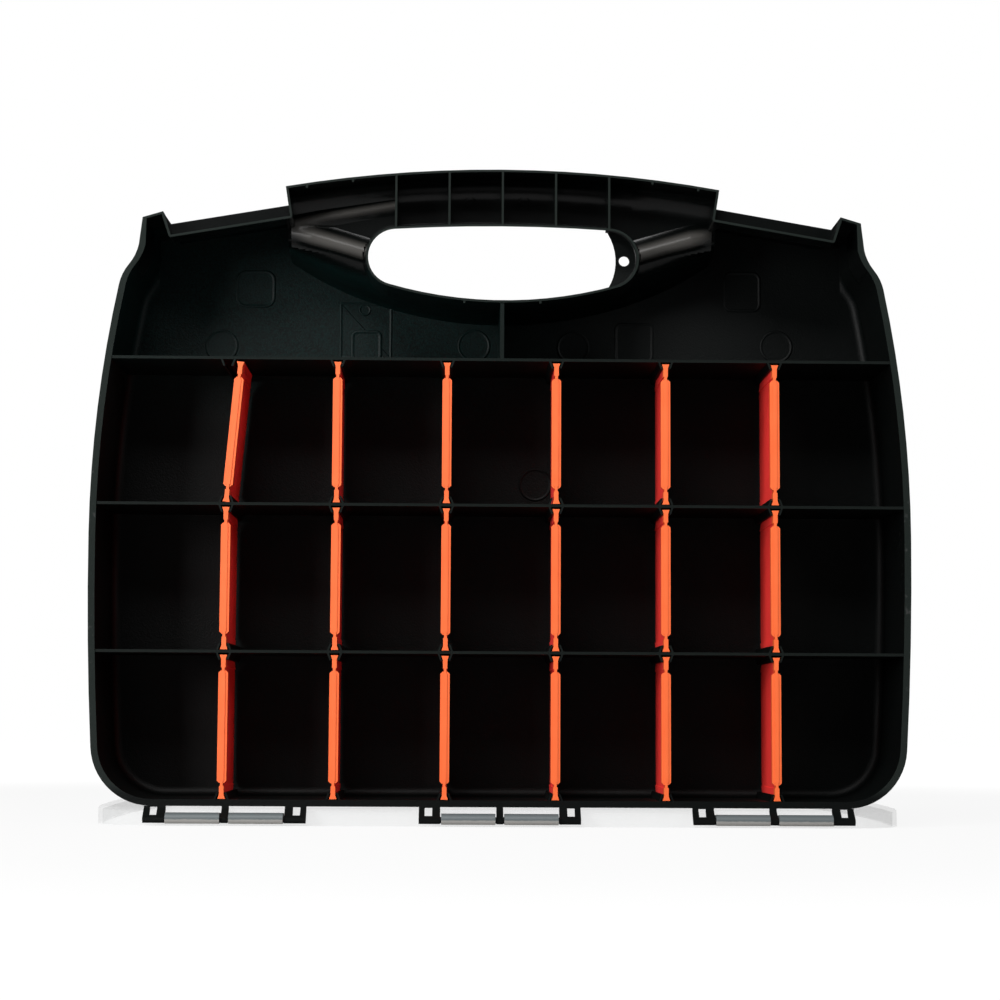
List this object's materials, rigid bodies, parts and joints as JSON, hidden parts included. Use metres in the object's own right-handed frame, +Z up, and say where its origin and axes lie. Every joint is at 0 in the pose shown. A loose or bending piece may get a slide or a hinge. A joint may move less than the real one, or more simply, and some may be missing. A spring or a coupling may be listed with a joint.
{
  "type": "compartment organizer box",
  "caption": "Flat moulded carry case with rows of compartments, lift-out dividers, a hinged lid, latches and a half-grip handle with a hanging hole.",
  "frame": {"origin": "on the floor, under the middle of the bounding box", "axes": "+X to the right along the hinge, +Y from the open side into the case, +Z up; the lid is folded back flat under the standing case"},
  "size_m": [0.46, 0.3698, 0.37],
  "materials": {
    "case_black": "fine moulded grain with a slight sheen",
    "divider_orange": "smooth satin",
    "lid_clear": "clear smoke-grey, glossy",
    "latch_orange": "smooth satin"
  },
  "bodies": {
    "case": {"case_tub": "case_black", "row_wall_1": "case_black", "row_wall_2": "case_black", "row_wall_3": "case_black", "centre_wall": "case_black", "hinge_left": "case_black", "hinge_centre": "case_black", "hinge_right": "case_black"},
    "lid": {"lid": "lid_clear", "lid_knuckles": "lid_clear"},
    "latch_left": {"latch_left": "latch_orange"},
    "latch_right": {"latch_right": "latch_orange"},
    "divider_1_1": {"divider_1_1": "divider_orange"},
    "divider_1_2": {"divider_1_2": "divider_orange"},
    "divider_1_3": {"divider_1_3": "divider_orange"},
    "divider_1_4": {"divider_1_4": "divider_orange"},
    "divider_1_5": {"divider_1_5": "divider_orange"},
    "divider_1_6": {"divider_1_6": "divider_orange"},
    "divider_2_1": {"divider_2_1": "divider_orange"},
    "divider_2_2": {"divider_2_2": "divider_orange"},
    "divider_2_3": {"divider_2_3": "divider_orange"},
    "divider_2_4": {"divider_2_4": "divider_orange"},
    "divider_2_5": {"divider_2_5": "divider_orange"},
    "divider_2_6": {"divider_2_6": "divider_orange"},
    "divider_3_1": {"divider_3_1": "divider_orange"},
    "divider_3_2": {"divider_3_2": "divider_orange"},
    "divider_3_3": {"divider_3_3": "divider_orange"},
    "divider_3_4": {"divider_3_4": "divider_orange"},
    "divider_3_5": {"divider_3_5": "divider_orange"},
    "divider_3_6": {"divider_3_6": "divider_orange"}
  },
  "joints": [
    {"name": "lid_hinge", "type": "hinge", "parent": "case", "child": "lid", "pos_m": [0, -0.18122, 0.0039], "axis": [1, 0, 0], "range_deg": [-270, 0]},
    {"name": "latch_left_turn", "type": "hinge", "parent": "lid", "child": "latch_left", "pos_m": [-0.15449, 0.15458, 0.005], "axis": [0.9856, 0.1689, 0], "range_deg": [-81.38, 80]},
    {"name": "latch_right_turn", "type": "hinge", "parent": "lid", "child": "latch_right", "pos_m": [0.15449, 0.15458, 0.005], "axis": [0.9856, -0.1689, 0], "range_deg": [-81.38, 80]},
    {"name": "divider_1_1_slide", "type": "slide", "parent": "case", "child": "divider_1_1", "axis": [0, -1, 0], "range_m": [0, 0.065]},
    {"name": "divider_1_2_slide", "type": "slide", "parent": "case", "child": "divider_1_2", "axis": [0, -1, 0], "range_m": [0, 0.065]},
    {"name": "divider_1_3_slide", "type": "slide", "parent": "case", "child": "divider_1_3", "axis": [0, -1, 0], "range_m": [0, 0.065]},
    {"name": "divider_1_4_slide", "type": "slide", "parent": "case", "child": "divider_1_4", "axis": [0, -1, 0], "range_m": [0, 0.065]},
    {"name": "divider_1_5_slide", "type": "slide", "parent": "case", "child": "divider_1_5", "axis": [0, -1, 0], "range_m": [0, 0.065]},
    {"name": "divider_1_6_slide", "type": "slide", "parent": "case", "child": "divider_1_6", "axis": [0, -1, 0], "range_m": [0, 0.065]},
    {"name": "divider_2_1_slide", "type": "slide", "parent": "case", "child": "divider_2_1", "axis": [0, -1, 0], "range_m": [0, 0.065]},
    {"name": "divider_2_2_slide", "type": "slide", "parent": "case", "child": "divider_2_2", "axis": [0, -1, 0], "range_m": [0, 0.065]},
    {"name": "divider_2_3_slide", "type": "slide", "parent": "case", "child": "divider_2_3", "axis": [0, -1, 0], "range_m": [0, 0.065]},
    {"name": "divider_2_4_slide", "type": "slide", "parent": "case", "child": "divider_2_4", "axis": [0, -1, 0], "range_m": [0, 0.065]},
    {"name": "divider_2_5_slide", "type": "slide", "parent": "case", "child": "divider_2_5", "axis": [0, -1, 0], "range_m": [0, 0.065]},
    {"name": "divider_2_6_slide", "type": "slide", "parent": "case", "child": "divider_2_6", "axis": [0, -1, 0], "range_m": [0, 0.065]},
    {"name": "divider_3_1_slide", "type": "slide", "parent": "case", "child": "divider_3_1", "axis": [0, -1, 0], "range_m": [0, 0.065]},
    {"name": "divider_3_2_slide", "type": "slide", "parent": "case", "child": "divider_3_2", "axis": [0, -1, 0], "range_m": [0, 0.065]},
    {"name": "divider_3_3_slide", "type": "slide", "parent": "case", "child": "divider_3_3", "axis": [0, -1, 0], "range_m": [0, 0.065]},
    {"name": "divider_3_4_slide", "type": "slide", "parent": "case", "child": "divider_3_4", "axis": [0, -1, 0], "range_m": [0, 0.065]},
    {"name": "divider_3_5_slide", "type": "slide", "parent": "case", "child": "divider_3_5", "axis": [0, -1, 0], "range_m": [0, 0.065]},
    {"name": "divider_3_6_slide", "type": "slide", "parent": "case", "child": "divider_3_6", "axis": [0, -1, 0], "range_m": [0, 0.065]}
  ]
}
